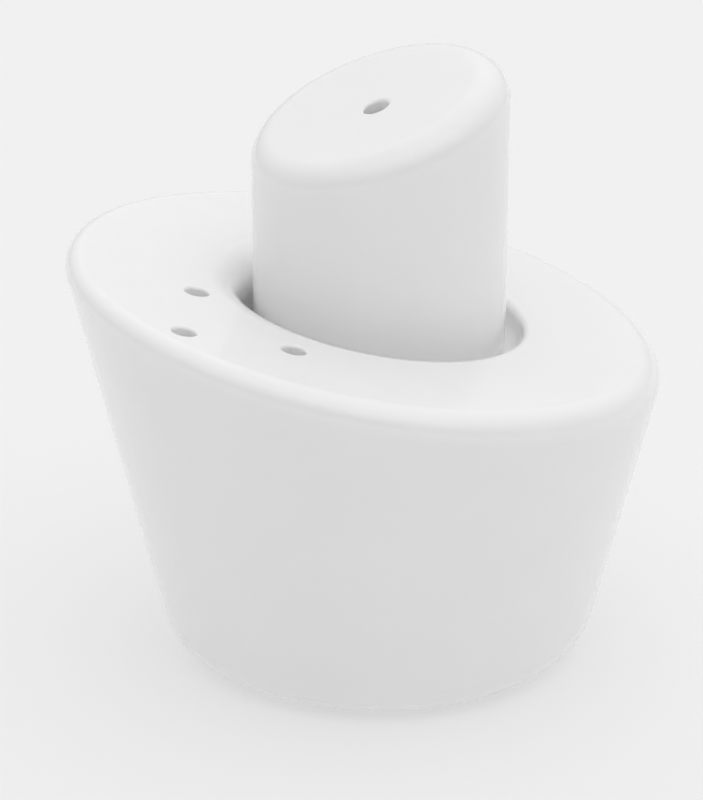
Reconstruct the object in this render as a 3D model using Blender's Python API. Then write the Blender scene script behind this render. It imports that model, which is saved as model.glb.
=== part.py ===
"""Nesting salt-and-pepper shaker set in white glazed porcelain, for Blender 4.5.

A tapered outer shaker with a slanted top holds a cylindrical inner shaker in a shallow well. Both are
hollow, with sprinkle holes in the top and a silicone stopper in the fill hole of the recessed foot.
Sizes are in millimetres and angles in degrees. The objects are made in metres, +Z up, and stand on z = 0.
"""
import math

import bmesh
import bpy
from mathutils import Vector

MM = 0.001
SEGMENTS = 72

# The shakers share one upright axis. The high shoulder leans out further than the low one, so the axis
# stands beside the middle of the footprint, which is the part's origin.
AXIS_X = 2.1

# Outer shaker: a cone frustum under a slanted plane whose high side is at -X. The well's floor is level, so
# the well is deepest there, where its rim is rounded most. It stands off centre by WELL_SHIFT towards +X.
BASE_RADIUS = 29.0
WALL_LEAN = 13.7
TOP_HEIGHT = 51.0
TOP_SLOPE = 11.1
FOOT_ROUNDING = 8.0
SHOULDER_ROUNDING = 2.95
SHOULDER_CHANGE = -0.95
WELL_RADIUS = 19.2
WELL_SHIFT = 0.5
WELL_FLOOR = 43.5
WELL_CORNER_ROUNDING = 2.2
RIM_ROUNDING = 3.6
RIM_CHANGE = 2.6
OUTER_SHELL = 3.0
OUTER_TOP_SHELL = 3.2
OUTER_FOOT_INNER_RADIUS = 19.0
OUTER_RECESS = 3.0
OUTER_FILL_RADIUS = 9.0
OUTER_HOLES = ((26.7, 200.0), (36.5, 222.4), (27.9, 243.0))
OUTER_HOLE_RADIUS = 1.55

# Inner shaker: a cylinder under a steeper plane, turned in the well by INNER_TURN.
INNER_TURN = 23.0
INNER_RADIUS = 17.5
INNER_DRAFT = 0.3
INNER_HEIGHT = 79.7
INNER_SLOPE = 20.6
INNER_EDGE_ROUNDING = 4.1
INNER_FOOT_ROUNDING = 1.5
INNER_FOOT_INNER_RADIUS = 13.0
INNER_RECESS = 6.8
INNER_SHELL = 2.8
INNER_FILL_RADIUS = 7.5
INNER_HOLE = (2.0, 228.0)
INNER_HOLE_RADIUS = 1.65

# Both shakers
BASE_THICKNESS = 3.0
GAP = 0.3
SMALL_ROUNDING = 0.5
DRILL_REACH = 8.0

# Stoppers: a tapered plug over a flange, with a low bar to grip it by.
PLUG_ABOVE_BASE = 0.5
PLUG_TAPER = 0.3
OUTER_FLANGE_RADIUS = 11.6
OUTER_FLANGE = 1.4
INNER_FLANGE_RADIUS = 9.8
INNER_FLANGE = 1.2
GRIP_WIDTH = 2.4
GRIP_DEPTH = 0.7


def tan_degrees(angle):
    """Tangent of an angle in degrees."""
    return math.tan(math.radians(angle))


def rounded(corners):
    """Outline through corners (radius, height, rounding, steps) in the upright half-plane.

    The first and last corners lie on the axis and are left out: flat caps close the solid there.
    """
    points = []
    for before, corner, after in zip(corners, corners[1:], corners[2:]):
        points.extend(corner_arc(before, corner, after))
    return points


def corner_arc(before, corner, after):
    """Points of the arc that rounds one corner."""
    middle = Vector(corner[:2])
    rounding, steps = corner[2:]
    arriving = (middle - Vector(before[:2])).normalized()
    leaving = (Vector(after[:2]) - middle).normalized()
    side = math.copysign(1.0, arriving.x * leaving.y - arriving.y * leaving.x)
    turn = side * arriving.angle(leaving)
    start = middle - arriving * rounding * math.tan(abs(turn) / 2)
    spoke = Vector((-arriving.y, arriving.x)) * rounding * side
    return [start + spoke + turned(-spoke, turn * step / steps) for step in range(steps + 1)]


def turned(vector, angle):
    """A plane vector turned anticlockwise by an angle in radians."""
    cosine = math.cos(angle)
    sine = math.sin(angle)
    return Vector((vector.x * cosine - vector.y * sine, vector.x * sine + vector.y * cosine))


def sloped_corner(radius, lean, height, slope):
    """Where a wall of a given radius at z = 0 and lean meets a top of a given height and slope."""
    reach = (radius + height * lean) / (1 - slope * lean)
    return reach, height + reach * slope


def outer_outline(azimuth):
    """Outline of the outer shaker's solid at one azimuth, from the well's floor round to its underside."""
    high = -math.cos(azimuth)
    slope = tan_degrees(TOP_SLOPE) * high
    lean = tan_degrees(WALL_LEAN)
    cavity_base_radius = BASE_RADIUS - OUTER_SHELL / math.cos(math.radians(WALL_LEAN))
    ceiling = TOP_HEIGHT - OUTER_TOP_SHELL / math.cos(math.radians(TOP_SLOPE))
    floor = OUTER_RECESS + BASE_THICKNESS
    well = WELL_RADIUS - WELL_SHIFT * high
    tube = well + OUTER_SHELL
    return rounded((
        (0.0, WELL_FLOOR),
        (well, WELL_FLOOR, WELL_CORNER_ROUNDING, 4),
        (well, TOP_HEIGHT + well * slope, RIM_ROUNDING + RIM_CHANGE * high, 7),
        (*sloped_corner(BASE_RADIUS, lean, TOP_HEIGHT, slope), SHOULDER_ROUNDING + SHOULDER_CHANGE * high, 7),
        (BASE_RADIUS, 0.0, FOOT_ROUNDING, 7),
        (OUTER_FOOT_INNER_RADIUS, 0.0, SMALL_ROUNDING, 2),
        (OUTER_FOOT_INNER_RADIUS, OUTER_RECESS, SMALL_ROUNDING, 2),
        (OUTER_FILL_RADIUS, OUTER_RECESS, SMALL_ROUNDING, 1),
        (OUTER_FILL_RADIUS, floor, SMALL_ROUNDING, 1),
        (cavity_base_radius + floor * lean, floor, 4.0, 4),
        (*sloped_corner(cavity_base_radius, lean, ceiling, slope), 1.0, 2),
        (tube, ceiling + tube * slope, 1.0, 2),
        (tube, WELL_FLOOR - OUTER_SHELL, 1.0, 2),
        (0.0, WELL_FLOOR - OUTER_SHELL),
    ))


def inner_outline(azimuth):
    """Outline of the inner shaker's solid at one azimuth, from its top round to the chamber's ceiling.

    Heights count from the foot, and the high side is at azimuth 0.
    """
    slope = tan_degrees(INNER_SLOPE) * math.cos(azimuth)
    draft = tan_degrees(INNER_DRAFT)
    height = inner_length()
    foot_radius = INNER_RADIUS - height * draft
    ceiling = height - INNER_SHELL / math.cos(math.radians(INNER_SLOPE))
    chamber_radius = foot_radius - INNER_SHELL
    floor = INNER_RECESS + BASE_THICKNESS
    return rounded((
        (0.0, height),
        (*sloped_corner(foot_radius, draft, height, slope), INNER_EDGE_ROUNDING, 8),
        (foot_radius, 0.0, INNER_FOOT_ROUNDING, 4),
        (INNER_FOOT_INNER_RADIUS, 0.0, SMALL_ROUNDING, 2),
        (INNER_FOOT_INNER_RADIUS, INNER_RECESS, SMALL_ROUNDING, 2),
        (INNER_FILL_RADIUS, INNER_RECESS, SMALL_ROUNDING, 1),
        (INNER_FILL_RADIUS, floor, SMALL_ROUNDING, 1),
        (chamber_radius + floor * draft, floor, 3.0, 4),
        (*sloped_corner(chamber_radius, draft, ceiling, slope), 2.0, 4),
        (0.0, ceiling),
    ))


def inner_length():
    """Height of the inner shaker on its axis, from its foot."""
    return INNER_HEIGHT - WELL_FLOOR - GAP


def stopper_outline(fill_radius, flange_radius, flange):
    """Outline of a stopper's solid. Heights count from the top of its flange."""
    plug_radius = fill_radius - GAP
    plug_top = GAP + BASE_THICKNESS + PLUG_ABOVE_BASE
    return rounded((
        (0.0, plug_top),
        (plug_radius - PLUG_TAPER, plug_top, SMALL_ROUNDING, 2),
        (plug_radius, 0.0, GAP / 2, 1),
        (flange_radius, 0.0, GAP, 1),
        (flange_radius, -flange, GAP, 1),
        (0.0, -flange),
    ))


def lathe(name, outline_at, material):
    """A closed object round its own Z axis whose upright outline may change with the azimuth."""
    mesh = bpy.data.meshes.new(name)
    work = bmesh.new()
    rings = []
    for index in range(SEGMENTS):
        azimuth = 2 * math.pi * index / SEGMENTS
        rings.append([work.verts.new(on_azimuth(point, azimuth)) for point in outline_at(azimuth)])
    work.faces.new([ring[0] for ring in rings])
    work.faces.new([ring[-1] for ring in reversed(rings)])
    for ring, following in zip(rings, rings[1:] + rings[:1]):
        for index in range(len(ring) - 1):
            work.faces.new((ring[index], ring[index + 1], following[index + 1], following[index]))
    work.to_mesh(mesh)
    work.free()
    mesh.materials.append(material)
    mesh.shade_smooth()
    mesh.set_sharp_from_angle(angle=math.radians(35))
    made = bpy.data.objects.new(name, mesh)
    bpy.context.collection.objects.link(made)
    return made


def on_azimuth(point, azimuth):
    """An outline point in space, in metres."""
    return (point.x * math.cos(azimuth) * MM, point.x * math.sin(azimuth) * MM, point.y * MM)


def drill(target, name, place, height, radius):
    """Cuts one upright sprinkle hole at a polar place (radius, azimuth) through the top of a shaker."""
    reach, azimuth = place
    x = reach * math.cos(math.radians(azimuth))
    y = reach * math.sin(math.radians(azimuth))
    bpy.ops.mesh.primitive_cylinder_add(vertices=24, radius=radius * MM, depth=2 * DRILL_REACH * MM)
    cutter = bpy.context.active_object
    cutter.name = name
    cutter.parent = target
    cutter.location = (x * MM, y * MM, height * MM)
    combine(target, cutter, "DIFFERENCE")


def combine(target, tool, operation):
    """Adds a Boolean of a hidden tool object to a target."""
    tool.hide_render = True
    tool.display_type = "WIRE"
    boolean = target.modifiers.new(tool.name, "BOOLEAN")
    boolean.operation = operation
    boolean.solver = "EXACT"
    boolean.object = tool


def make_outer_shaker(material):
    """The tapered shaker with the well and three sprinkle holes."""
    shaker = lathe("outer_shaker", outer_outline, material)
    shaker.location = (AXIS_X * MM, 0.0, 0.0)
    for index, place in enumerate(OUTER_HOLES):
        reach, azimuth = place
        height = TOP_HEIGHT - reach * math.cos(math.radians(azimuth)) * tan_degrees(TOP_SLOPE)
        drill(shaker, f"outer_drill_{index + 1}", place, height, OUTER_HOLE_RADIUS)
    return shaker


def make_inner_shaker(material):
    """The cylindrical shaker with one sprinkle hole. It lifts along its own axis."""
    shaker = lathe("inner_shaker", inner_outline, material)
    shaker.location = (AXIS_X * MM, 0.0, (WELL_FLOOR + GAP) * MM)
    shaker.rotation_euler.z = math.radians(INNER_TURN)
    drill(shaker, "inner_drill", INNER_HOLE, inner_length(), INNER_HOLE_RADIUS)
    return shaker


def make_stopper(name, shaker, material, fill_radius, recess, flange_radius, flange):
    """A stopper in a shaker's fill hole. It pulls out downwards along the shaker's axis."""
    stopper = lathe(name, lambda azimuth: stopper_outline(fill_radius, flange_radius, flange), material)
    stopper.parent = shaker
    stopper.location = (0.0, 0.0, (recess - GAP) * MM)
    bpy.ops.mesh.primitive_cube_add(size=1.0)
    grip = bpy.context.active_object
    grip.name = f"{name}_grip"
    grip.parent = stopper
    grip.scale = (1.3 * flange_radius * MM, GRIP_WIDTH * MM, 2 * GRIP_DEPTH * MM)
    grip.location = (0.0, 0.0, -flange * MM)
    combine(stopper, grip, "UNION")
    return stopper


def make_material(name, colour, roughness):
    """A plain Principled material."""
    material = bpy.data.materials.new(name)
    material.use_nodes = True
    shader = material.node_tree.nodes["Principled BSDF"]
    shader.inputs["Base Color"].default_value = (*colour, 1.0)
    shader.inputs["Roughness"].default_value = roughness
    shader.inputs["Metallic"].default_value = 0.0
    return material


def main():
    """Builds the set in an emptied scene."""
    for leftover in list(bpy.data.objects):
        bpy.data.objects.remove(leftover)
    white = (0.84, 0.84, 0.83)
    clear_grey = (0.72, 0.72, 0.70)
    outer = make_outer_shaker(make_material("outer_porcelain", white, 0.12))
    inner = make_inner_shaker(make_material("inner_porcelain", white, 0.12))
    make_stopper("outer_stopper", outer, make_material("outer_silicone", clear_grey, 0.5),
                 OUTER_FILL_RADIUS, OUTER_RECESS, OUTER_FLANGE_RADIUS, OUTER_FLANGE)
    make_stopper("inner_stopper", inner, make_material("inner_silicone", clear_grey, 0.5),
                 INNER_FILL_RADIUS, INNER_RECESS, INNER_FLANGE_RADIUS, INNER_FLANGE)


main()
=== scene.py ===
"""Looks of the nesting salt-and-pepper shaker set, for Blender 4.5.

Each CAD solid is replaced by a finer piece with rolled hole rims, a bare foot ring and moulded stoppers.
Sizes are in millimetres and angles in degrees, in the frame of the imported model.
"""
import math

import bmesh
import bpy
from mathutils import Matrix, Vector


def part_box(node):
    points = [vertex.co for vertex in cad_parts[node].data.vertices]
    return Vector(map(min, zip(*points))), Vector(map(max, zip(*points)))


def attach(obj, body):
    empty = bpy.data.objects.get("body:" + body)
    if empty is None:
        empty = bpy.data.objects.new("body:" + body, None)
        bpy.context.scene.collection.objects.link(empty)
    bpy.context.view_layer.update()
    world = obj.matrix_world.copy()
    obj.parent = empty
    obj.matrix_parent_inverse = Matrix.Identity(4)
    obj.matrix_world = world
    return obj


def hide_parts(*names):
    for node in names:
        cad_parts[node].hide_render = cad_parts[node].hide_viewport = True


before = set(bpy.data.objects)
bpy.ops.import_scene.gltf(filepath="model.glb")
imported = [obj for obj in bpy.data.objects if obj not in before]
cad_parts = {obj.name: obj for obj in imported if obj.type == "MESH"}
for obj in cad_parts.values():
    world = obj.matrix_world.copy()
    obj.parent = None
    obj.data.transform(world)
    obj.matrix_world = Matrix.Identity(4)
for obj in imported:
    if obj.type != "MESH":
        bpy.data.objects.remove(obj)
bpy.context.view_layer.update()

MM = 0.001
SEGMENTS = 240
DRILL_SEGMENTS = 48

# Camera: where it looks, and from where.
LOOK_AT = (-1.742, 0.201, 35.81)
AZIMUTH = -3.0
ELEVATION = 22.5
DISTANCE = 507.9
LENS = 164.73
SENSOR_WIDTH = 36.0

# Studio light: wide soft lobes of sky like the panels of a light tent, over a floor that glows a little.
# Each is (azimuth from the front towards +X, elevation, strength, narrowness).
SKY_LOBES = (
    (0, 90, 0.75, 4.0),
    (135, 20, 0.65, 4.0),
    (225, 20, 0.5, 4.0),
    (0, 50, 0.5, 16.0),
    (45, 50, 0.6, 16.0),
    (315, 50, 0.4, 16.0),
)
FLOOR_SIZE = 6000.0
FLOOR_TONE = 0.5
FLOOR_GLOW = 0.40

# Outer shaker: a cone frustum under a slanted plane whose high side is at -X.
BASE_RADIUS = 29.0
WALL_LEAN = 13.7
TOP_HEIGHT = 51.0
TOP_SLOPE = 11.1
FOOT_ROUNDING = 8.0
SHOULDER_ROUNDING = 2.95
SHOULDER_CHANGE = -0.95
WELL_RADIUS = 19.2
WELL_SHIFT = 0.5
WELL_FLOOR = 43.5
WELL_CORNER_ROUNDING = 2.2
RIM_ROUNDING = 3.6
RIM_CHANGE = 2.6
OUTER_SHELL = 3.0
OUTER_TOP_SHELL = 3.2
OUTER_FOOT_INNER_RADIUS = 19.0
OUTER_FOOT_OUTER_RADIUS = 22.3
OUTER_RECESS = 3.0
OUTER_FILL_RADIUS = 9.0
OUTER_HOLES = ((26.7, 200.0), (36.5, 222.4), (27.9, 243.0))
OUTER_HOLE_RADIUS = 1.55

# Inner shaker: a cylinder under a steeper plane, turned in the well by INNER_TURN.
INNER_TURN = 23.0
INNER_RADIUS = 17.5
INNER_DRAFT = 0.3
INNER_HEIGHT = 79.7
INNER_SLOPE = 20.6
INNER_EDGE_ROUNDING = 4.1
INNER_FOOT_ROUNDING = 1.5
INNER_FOOT_INNER_RADIUS = 13.0
INNER_FOOT_OUTER_RADIUS = 15.4
INNER_RECESS = 6.8
INNER_SHELL = 2.8
INNER_FILL_RADIUS = 7.5
INNER_HOLE = (2.0, 228.0)
INNER_HOLE_RADIUS = 1.65

# Both shakers
BASE_THICKNESS = 3.0
GAP = 0.3
SMALL_ROUNDING = 0.5
GLAZE = 0.12
RING_HEIGHT = 0.4 * GLAZE
FACING_DOWN = -0.3
HOLE_ROLL = 0.45
HOLE_ROLL_STEPS = 8
DRILL_REACH = 8.0
SHARP_ANGLE = 40

# Stoppers
PLUG_ABOVE_BASE = 0.5
PLUG_TAPER = 0.3
RIB = 0.15
OUTER_FLANGE_RADIUS = 11.6
OUTER_FLANGE = 1.4
INNER_FLANGE_RADIUS = 9.8
INNER_FLANGE = 1.2
GRIP_LENGTH_IN_RADII = 1.3
GRIP_WIDTH = 2.4
GRIP_DEPTH = 0.7
GRIP_BEVEL = 0.45
GROOVE_OUTER_SHARE = 0.85
GROOVE_INNER_SHARE = 0.80


def tan_degrees(angle):
    """Tangent of an angle in degrees."""
    return math.tan(math.radians(angle))


def axis_x():
    """Where the shakers' common axis stands along X, in millimetres."""
    low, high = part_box("outer_stopper")
    return (low.x + high.x) / 2 / MM


def turned(vector, angle):
    """A plane vector turned anticlockwise by an angle in radians."""
    cosine = math.cos(angle)
    sine = math.sin(angle)
    return Vector((vector.x * cosine - vector.y * sine, vector.x * sine + vector.y * cosine))


def corner_arc(before, corner, after):
    """Points of the arc that rounds one corner of an outline."""
    middle = Vector(corner[:2])
    rounding, steps = corner[2:]
    arriving = (middle - Vector(before[:2])).normalized()
    leaving = (Vector(after[:2]) - middle).normalized()
    side = math.copysign(1.0, arriving.x * leaving.y - arriving.y * leaving.x)
    turn = side * arriving.angle(leaving)
    start = middle - arriving * rounding * math.tan(abs(turn) / 2)
    spoke = Vector((-arriving.y, arriving.x)) * rounding * side
    return [start + spoke + turned(-spoke, turn * step / steps) for step in range(steps + 1)]


def rounded(corners):
    """Outline through corners (radius, height, rounding, steps), whose first and last lie on the axis."""
    points = []
    for before, corner, after in zip(corners, corners[1:], corners[2:]):
        points.extend(corner_arc(before, corner, after))
    return points


def sloped_corner(radius, lean, height, slope):
    """Where a wall of a given radius at z = 0 and lean meets a top of a given height and slope."""
    reach = (radius + height * lean) / (1 - slope * lean)
    return reach, height + reach * slope


def outer_outline(azimuth):
    """Outline of the outer shaker at one azimuth, from the well's floor round to its underside."""
    high = -math.cos(azimuth)
    slope = tan_degrees(TOP_SLOPE) * high
    lean = tan_degrees(WALL_LEAN)
    cavity_base_radius = BASE_RADIUS - OUTER_SHELL / math.cos(math.radians(WALL_LEAN))
    ceiling = TOP_HEIGHT - OUTER_TOP_SHELL / math.cos(math.radians(TOP_SLOPE))
    floor = OUTER_RECESS + BASE_THICKNESS
    well = WELL_RADIUS - WELL_SHIFT * high
    tube = well + OUTER_SHELL
    shoulder = sloped_corner(BASE_RADIUS, lean, TOP_HEIGHT, slope)
    return rounded((
        (0.0, WELL_FLOOR),
        (well, WELL_FLOOR, WELL_CORNER_ROUNDING, 8),
        (well, TOP_HEIGHT + well * slope, RIM_ROUNDING + RIM_CHANGE * high, 18),
        (*shoulder, SHOULDER_ROUNDING + SHOULDER_CHANGE * high, 20),
        (BASE_RADIUS + GLAZE * lean, GLAZE, FOOT_ROUNDING, 20),
        (OUTER_FOOT_OUTER_RADIUS, GLAZE, GLAZE / 2, 2),
        (OUTER_FOOT_OUTER_RADIUS, 0.0, GLAZE / 3, 2),
        (OUTER_FOOT_INNER_RADIUS, 0.0, SMALL_ROUNDING, 5),
        (OUTER_FOOT_INNER_RADIUS, OUTER_RECESS, SMALL_ROUNDING, 5),
        (OUTER_FILL_RADIUS, OUTER_RECESS, SMALL_ROUNDING, 4),
        (OUTER_FILL_RADIUS, floor, SMALL_ROUNDING, 4),
        (cavity_base_radius + floor * lean, floor, 4.0, 6),
        (*sloped_corner(cavity_base_radius, lean, ceiling, slope), 1.0, 3),
        (tube, ceiling + tube * slope, 1.0, 4),
        (tube, WELL_FLOOR - OUTER_SHELL, 1.0, 4),
        (0.0, WELL_FLOOR - OUTER_SHELL),
    ))


def inner_outline(azimuth):
    """Outline of the inner shaker at one azimuth. Heights count from its foot; azimuth 0 is its high side."""
    slope = tan_degrees(INNER_SLOPE) * math.cos(azimuth)
    draft = tan_degrees(INNER_DRAFT)
    height = inner_length()
    foot_radius = INNER_RADIUS - height * draft
    ceiling = height - INNER_SHELL / math.cos(math.radians(INNER_SLOPE))
    chamber_radius = foot_radius - INNER_SHELL
    floor = INNER_RECESS + BASE_THICKNESS
    return rounded((
        (0.0, height),
        (*sloped_corner(foot_radius, draft, height, slope), INNER_EDGE_ROUNDING, 24),
        (foot_radius, GLAZE, INNER_FOOT_ROUNDING, 8),
        (INNER_FOOT_OUTER_RADIUS, GLAZE, GLAZE / 2, 2),
        (INNER_FOOT_OUTER_RADIUS, 0.0, GLAZE / 3, 2),
        (INNER_FOOT_INNER_RADIUS, 0.0, SMALL_ROUNDING, 5),
        (INNER_FOOT_INNER_RADIUS, INNER_RECESS, SMALL_ROUNDING, 5),
        (INNER_FILL_RADIUS, INNER_RECESS, SMALL_ROUNDING, 4),
        (INNER_FILL_RADIUS, floor, SMALL_ROUNDING, 4),
        (chamber_radius + floor * draft, floor, 3.0, 6),
        (*sloped_corner(chamber_radius, draft, ceiling, slope), 2.0, 6),
        (0.0, ceiling),
    ))


def inner_length():
    """Height of the inner shaker on its axis, from its foot."""
    return INNER_HEIGHT - WELL_FLOOR - GAP


def plug_length():
    """How far a stopper's plug rises over its flange."""
    return GAP + BASE_THICKNESS + PLUG_ABOVE_BASE


def stopper_outline(fill_radius, flange_radius, flange):
    """Outline of a moulded stopper, with two low ribs round its plug. Heights count from its flange's top."""
    plug = fill_radius - GAP
    plug_top = plug_length()
    ribs = []
    for height in (0.75 * plug_top, 0.35 * plug_top):
        ribs += [
            (plug - PLUG_TAPER, height + 2 * RIB, RIB, 3),
            (plug - PLUG_TAPER + 2 * RIB, height, RIB, 5),
            (plug - PLUG_TAPER, height - 2 * RIB, RIB, 3),
        ]
    return rounded((
        (0.0, plug_top),
        (plug - PLUG_TAPER, plug_top, 2 * SMALL_ROUNDING, 6),
        *ribs,
        (plug - PLUG_TAPER, 0.0, GAP, 4),
        (flange_radius, 0.0, SMALL_ROUNDING, 6),
        (flange_radius, -flange, SMALL_ROUNDING, 6),
        (GROOVE_OUTER_SHARE * flange_radius, -flange, RIB, 3),
        (GROOVE_OUTER_SHARE * flange_radius, RIB - flange, RIB / 2, 3),
        (GROOVE_INNER_SHARE * flange_radius, RIB - flange, RIB / 2, 3),
        (GROOVE_INNER_SHARE * flange_radius, -flange, RIB, 3),
        (0.0, -flange),
    ))


def on_azimuth(point, azimuth):
    """An outline point in space, in metres."""
    return (point.x * math.cos(azimuth) * MM, point.x * math.sin(azimuth) * MM, point.y * MM)


def lathe(name, outline_at):
    """A closed object round its own Z axis whose upright outline may change with the azimuth."""
    mesh = bpy.data.meshes.new(name)
    work = bmesh.new()
    rings = []
    for index in range(SEGMENTS):
        azimuth = 2 * math.pi * index / SEGMENTS
        rings.append([work.verts.new(on_azimuth(point, azimuth)) for point in outline_at(azimuth)])
    work.faces.new([ring[0] for ring in rings])
    work.faces.new([ring[-1] for ring in reversed(rings)])
    for ring, following in zip(rings, rings[1:] + rings[:1]):
        for index in range(len(ring) - 1):
            work.faces.new((ring[index], ring[index + 1], following[index + 1], following[index]))
    work.to_mesh(mesh)
    work.free()
    made = bpy.data.objects.new(name, mesh)
    bpy.context.scene.collection.objects.link(made)
    return made


def apply_modifiers(piece):
    """Makes a piece's evaluated mesh its own mesh."""
    graph = bpy.context.evaluated_depsgraph_get()
    made = bpy.data.meshes.new_from_object(piece.evaluated_get(graph))
    piece.modifiers.clear()
    piece.data = made


def combine(target, tool, operation):
    """Joins a tool object into a target or cuts it out, and removes the tool."""
    boolean = target.modifiers.new("boolean", "BOOLEAN")
    boolean.operation = operation
    boolean.solver = "EXACT"
    boolean.object = tool
    apply_modifiers(target)
    bpy.data.objects.remove(tool)


def drill(target, place, radius, plane_height, slope):
    """Cuts an upright sprinkle hole whose rim rolls into the slanted top z = plane_height + slope * x."""
    reach, azimuth = place
    centre_x = reach * math.cos(math.radians(azimuth))
    centre_y = reach * math.sin(math.radians(azimuth))
    outline = [(radius, -DRILL_REACH)]
    for step in range(HOLE_ROLL_STEPS + 1):
        angle = math.pi / 2 * step / HOLE_ROLL_STEPS
        outline.append((radius + HOLE_ROLL * (1 - math.cos(angle)), HOLE_ROLL * (math.sin(angle) - 1)))
    outline.append((radius + HOLE_ROLL, DRILL_REACH))
    work = bmesh.new()
    loops = []
    for distance, rise in outline:
        loop = []
        for index in range(DRILL_SEGMENTS):
            angle = 2 * math.pi * index / DRILL_SEGMENTS
            x = centre_x + distance * math.cos(angle)
            y = centre_y + distance * math.sin(angle)
            loop.append(work.verts.new((x * MM, y * MM, (plane_height + slope * x + rise) * MM)))
        loops.append(loop)
    work.faces.new(list(reversed(loops[0])))
    work.faces.new(loops[-1])
    for low, high in zip(loops, loops[1:]):
        for index in range(DRILL_SEGMENTS):
            after = (index + 1) % DRILL_SEGMENTS
            work.faces.new((low[index], low[after], high[after], high[index]))
    mesh = bpy.data.meshes.new("drill")
    work.to_mesh(mesh)
    work.free()
    tool = bpy.data.objects.new("drill", mesh)
    bpy.context.scene.collection.objects.link(tool)
    tool.matrix_world = target.matrix_world
    bpy.context.view_layer.update()
    combine(target, tool, "DIFFERENCE")


def smooth(piece):
    """Shades a piece smooth, keeping its edges sharper than SHARP_ANGLE."""
    piece.data.shade_smooth()
    piece.data.set_sharp_from_angle(angle=math.radians(SHARP_ANGLE))
    weighted = piece.modifiers.new("weighted normals", "WEIGHTED_NORMAL")
    weighted.keep_sharp = True
    weighted.weight = 100


def bare_foot(piece, glaze, clay, outer_radius):
    """Glazes a shaker all over but for the flat ring it stands on."""
    piece.data.materials.append(glaze)
    piece.data.materials.append(clay)
    for face in piece.data.polygons:
        reach = math.hypot(face.center.x, face.center.y)
        low = face.center.z < RING_HEIGHT * MM
        if low and reach < outer_radius * MM and face.normal.z < FACING_DOWN:
            face.material_index = 1


def nodes_of(name):
    """A new material with its node tree's shader, nodes and links."""
    material = bpy.data.materials.new(name)
    material.use_nodes = True
    tree = material.node_tree
    return material, tree.nodes["Principled BSDF"], tree.nodes, tree.links


def noise(nodes, links, coordinates, scale, detail):
    """A noise texture on object coordinates. The scale is per metre."""
    texture = nodes.new("ShaderNodeTexNoise")
    texture.inputs["Scale"].default_value = scale
    texture.inputs["Detail"].default_value = detail
    links.new(coordinates.outputs["Object"], texture.inputs["Vector"])
    return texture


def grey(tone):
    """A grey of one tone."""
    return (tone, tone, tone)


def ramp(nodes, links, value, stops):
    """A colour ramp of (position, colour) stops over a value."""
    made = nodes.new("ShaderNodeValToRGB")
    for element, (position, colour) in zip(made.color_ramp.elements, stops):
        element.position = position
        element.color = (*colour, 1.0)
    links.new(value, made.inputs["Fac"])
    return made


def bump(nodes, links, height, distance, strength, below=None):
    """A bump of a height in metres, over another bump."""
    made = nodes.new("ShaderNodeBump")
    made.inputs["Distance"].default_value = distance
    made.inputs["Strength"].default_value = strength
    links.new(height, made.inputs["Height"])
    if below:
        links.new(below.outputs["Normal"], made.inputs["Normal"])
    return made


def glaze_material(name):
    """Glossy white porcelain glaze: a soft ripple, and barely uneven tone and gloss."""
    material, shader, nodes, links = nodes_of(name)
    place = nodes.new("ShaderNodeTexCoord")
    tone = noise(nodes, links, place, 60.0, 3.0)
    colours = ramp(nodes, links, tone.outputs["Fac"], ((0.3, grey(0.94)), (0.7, grey(0.96))))
    links.new(colours.outputs["Color"], shader.inputs["Base Color"])
    gloss = noise(nodes, links, place, 240.0, 4.0)
    rough = ramp(nodes, links, gloss.outputs["Fac"], ((0.3, grey(0.10)), (0.7, grey(0.16))))
    links.new(rough.outputs["Color"], shader.inputs["Roughness"])
    ripple = noise(nodes, links, place, 90.0, 1.0)
    peel = noise(nodes, links, place, 900.0, 2.0)
    wide = bump(nodes, links, ripple.outputs["Fac"], 0.00015, 0.25)
    fine = bump(nodes, links, peel.outputs["Fac"], 0.00001, 0.15, wide)
    links.new(fine.outputs["Normal"], shader.inputs["Normal"])
    shader.inputs["IOR"].default_value = 1.5
    shader.inputs["Coat Weight"].default_value = 0.35
    shader.inputs["Coat Roughness"].default_value = 0.04
    shader.inputs["Subsurface Weight"].default_value = 0.5
    shader.inputs["Subsurface Radius"].default_value = (1.0, 1.0, 1.0)
    shader.inputs["Subsurface Scale"].default_value = 0.002
    return material


def clay_material(name):
    """Bare fired porcelain: matte, fine-grained and a little warm, with rubbed grey marks."""
    material, shader, nodes, links = nodes_of(name)
    place = nodes.new("ShaderNodeTexCoord")
    marks = noise(nodes, links, place, 350.0, 6.0)
    stops = ((0.35, (0.60, 0.57, 0.53)), (0.65, (0.76, 0.74, 0.70)))
    colours = ramp(nodes, links, marks.outputs["Fac"], stops)
    links.new(colours.outputs["Color"], shader.inputs["Base Color"])
    grain = noise(nodes, links, place, 5000.0, 3.0)
    rough = ramp(nodes, links, grain.outputs["Fac"], ((0.3, grey(0.70)), (0.7, grey(0.90))))
    links.new(rough.outputs["Color"], shader.inputs["Roughness"])
    grains = bump(nodes, links, grain.outputs["Fac"], 0.00006, 0.6)
    links.new(grains.outputs["Normal"], shader.inputs["Normal"])
    return material


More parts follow.
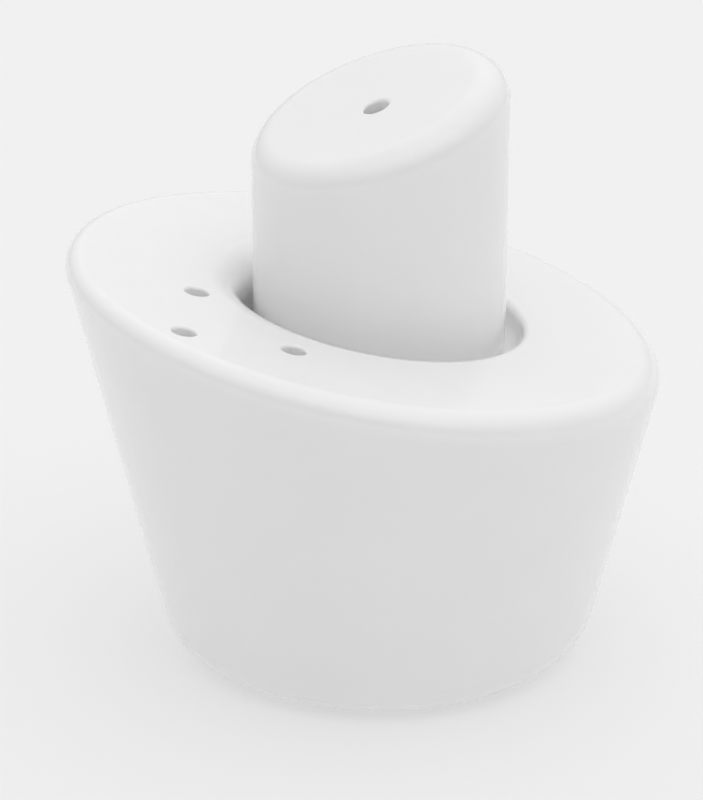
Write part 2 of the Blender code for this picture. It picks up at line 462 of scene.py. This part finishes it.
def silicone_material(name):
    """Milky silicone: soft, slightly translucent, with a fine satin texture and faint dust."""
    material, shader, nodes, links = nodes_of(name)
    place = nodes.new("ShaderNodeTexCoord")
    cloud = noise(nodes, links, place, 180.0, 4.0)
    stops = ((0.3, (0.64, 0.64, 0.62)), (0.7, (0.74, 0.74, 0.72)))
    colours = ramp(nodes, links, cloud.outputs["Fac"], stops)
    links.new(colours.outputs["Color"], shader.inputs["Base Color"])
    satin = noise(nodes, links, place, 3500.0, 2.0)
    rough = ramp(nodes, links, satin.outputs["Fac"], ((0.3, grey(0.38)), (0.7, grey(0.52))))
    links.new(rough.outputs["Color"], shader.inputs["Roughness"])
    grain = bump(nodes, links, satin.outputs["Fac"], 0.00003, 0.4)
    links.new(grain.outputs["Normal"], shader.inputs["Normal"])
    shader.inputs["IOR"].default_value = 1.41
    shader.inputs["Subsurface Weight"].default_value = 0.5
    shader.inputs["Subsurface Radius"].default_value = (1.0, 1.0, 0.95)
    shader.inputs["Subsurface Scale"].default_value = 0.002
    return material


def make_outer_shaker():
    """The tapered shaker with the well and three sprinkle holes."""
    piece = lathe("outer_porcelain_body", outer_outline)
    piece.location = (axis_x() * MM, 0.0, 0.0)
    bpy.context.view_layer.update()
    for place in OUTER_HOLES:
        drill(piece, place, OUTER_HOLE_RADIUS, TOP_HEIGHT, -tan_degrees(TOP_SLOPE))
    bare_foot(piece, glaze_material("outer_glaze"), clay_material("outer_foot_clay"), OUTER_FOOT_OUTER_RADIUS)
    finish_piece(piece, "outer", "outer_shaker")


def make_inner_shaker():
    """The cylindrical shaker with one sprinkle hole, standing in the well."""
    piece = lathe("inner_porcelain_body", inner_outline)
    piece.location = (axis_x() * MM, 0.0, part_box("inner_shaker")[0].z)
    piece.rotation_euler.z = math.radians(INNER_TURN)
    bpy.context.view_layer.update()
    drill(piece, INNER_HOLE, INNER_HOLE_RADIUS, inner_length(), tan_degrees(INNER_SLOPE))
    bare_foot(piece, glaze_material("inner_glaze"), clay_material("inner_foot_clay"), INNER_FOOT_OUTER_RADIUS)
    finish_piece(piece, "inner", "inner_shaker")


def make_stopper(name, body, node, fill_radius, flange_radius, flange):
    """A moulded stopper with a rounded bar to grip it by."""
    piece = lathe(name, lambda azimuth: stopper_outline(fill_radius, flange_radius, flange))
    piece.location = (axis_x() * MM, 0.0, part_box(node)[1].z - plug_length() * MM)
    bpy.context.view_layer.update()
    work = bmesh.new()
    bmesh.ops.create_cube(work, size=1.0)
    bar = (GRIP_LENGTH_IN_RADII * flange_radius * MM, GRIP_WIDTH * MM, 2 * GRIP_DEPTH * MM)
    bmesh.ops.scale(work, vec=bar, verts=work.verts)
    bmesh.ops.bevel(work, geom=work.edges[:], offset=GRIP_BEVEL * MM, segments=5, profile=0.5, affect="EDGES")
    mesh = bpy.data.meshes.new("grip")
    work.to_mesh(mesh)
    work.free()
    grip = bpy.data.objects.new("grip", mesh)
    bpy.context.scene.collection.objects.link(grip)
    grip.location = piece.location - Vector((0.0, 0.0, flange * MM))
    bpy.context.view_layer.update()
    combine(piece, grip, "UNION")
    piece.data.materials.append(silicone_material(f"{name}_silicone"))
    finish_piece(piece, body, node)


def finish_piece(piece, body, node):
    """Shades a piece and ties it to the frame."""
    smooth(piece)
    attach(piece, body)
    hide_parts(node)


def make_floor():
    """A plain pale floor."""
    bpy.ops.mesh.primitive_plane_add(size=FLOOR_SIZE * MM, location=(0.0, 0.0, 0.0))
    floor = bpy.context.active_object
    floor.name = "floor"
    material, shader = nodes_of("pale_floor")[:2]
    shader.inputs["Base Color"].default_value = (*grey(FLOOR_TONE), 1.0)
    shader.inputs["Roughness"].default_value = 0.9
    shader.inputs["Specular IOR Level"].default_value = 0.0
    shader.inputs["Emission Color"].default_value = (1.0, 1.0, 1.0, 1.0)
    shader.inputs["Emission Strength"].default_value = FLOOR_GLOW
    floor.data.materials.append(material)


def direction(azimuth, elevation):
    """The way towards an azimuth, counted from the front (-Y) towards +X, and an elevation, in degrees."""
    azimuth = math.radians(azimuth)
    elevation = math.radians(elevation)
    return Vector((
        math.sin(azimuth) * math.cos(elevation),
        -math.cos(azimuth) * math.cos(elevation),
        math.sin(elevation),
    ))


def maths(nodes, links, operation, value, other):
    """A maths node on a linked value and another number or linked value."""
    made = nodes.new("ShaderNodeMath")
    made.operation = operation
    links.new(value, made.inputs[0])
    if isinstance(other, float):
        made.inputs[1].default_value = other
    else:
        links.new(other, made.inputs[1])
    return made.outputs["Value"]


def make_world():
    """White surroundings like a light tent, each lobe fading smoothly away from its own direction."""
    world = bpy.data.worlds.new("studio")
    bpy.context.scene.world = world
    world.use_nodes = True
    nodes = world.node_tree.nodes
    links = world.node_tree.links
    place = nodes.new("ShaderNodeTexCoord")
    total = None
    for azimuth, elevation, strength, narrowness in SKY_LOBES:
        towards = nodes.new("ShaderNodeVectorMath")
        towards.operation = "DOT_PRODUCT"
        towards.inputs[1].default_value = direction(azimuth, elevation)
        links.new(place.outputs["Generated"], towards.inputs[0])
        spread = nodes.new("ShaderNodeMapRange")
        spread.inputs["From Min"].default_value = -1.0
        links.new(towards.outputs["Value"], spread.inputs["Value"])
        lobe = maths(nodes, links, "POWER", spread.outputs["Result"], narrowness)
        lobe = maths(nodes, links, "MULTIPLY", lobe, float(strength))
        total = lobe if total is None else maths(nodes, links, "ADD", lobe, total)
    links.new(total, nodes["Background"].inputs["Strength"])
    nodes["Background"].inputs["Color"].default_value = (1.0, 1.0, 1.0, 1.0)


def make_camera():
    """The camera, level, looking slightly down."""
    data = bpy.data.cameras.new("camera")
    data.lens = LENS
    data.sensor_width = SENSOR_WIDTH
    camera = bpy.data.objects.new("camera", data)
    back = direction(AZIMUTH, ELEVATION)
    camera.location = (Vector(LOOK_AT) + back * DISTANCE) * MM
    camera.rotation_euler = (-back).to_track_quat("-Z", "Y").to_euler()
    bpy.context.scene.collection.objects.link(camera)
    bpy.context.scene.camera = camera


make_camera()
make_floor()
make_world()
make_outer_shaker()
make_inner_shaker()
make_stopper("outer_silicone_stopper", "outer_plug", "outer_stopper",
             OUTER_FILL_RADIUS, OUTER_FLANGE_RADIUS, OUTER_FLANGE)
make_stopper("inner_silicone_stopper", "inner_plug", "inner_stopper",
             INNER_FILL_RADIUS, INNER_FLANGE_RADIUS, INNER_FLANGE)
bpy.context.scene.view_settings.view_transform = "Standard"
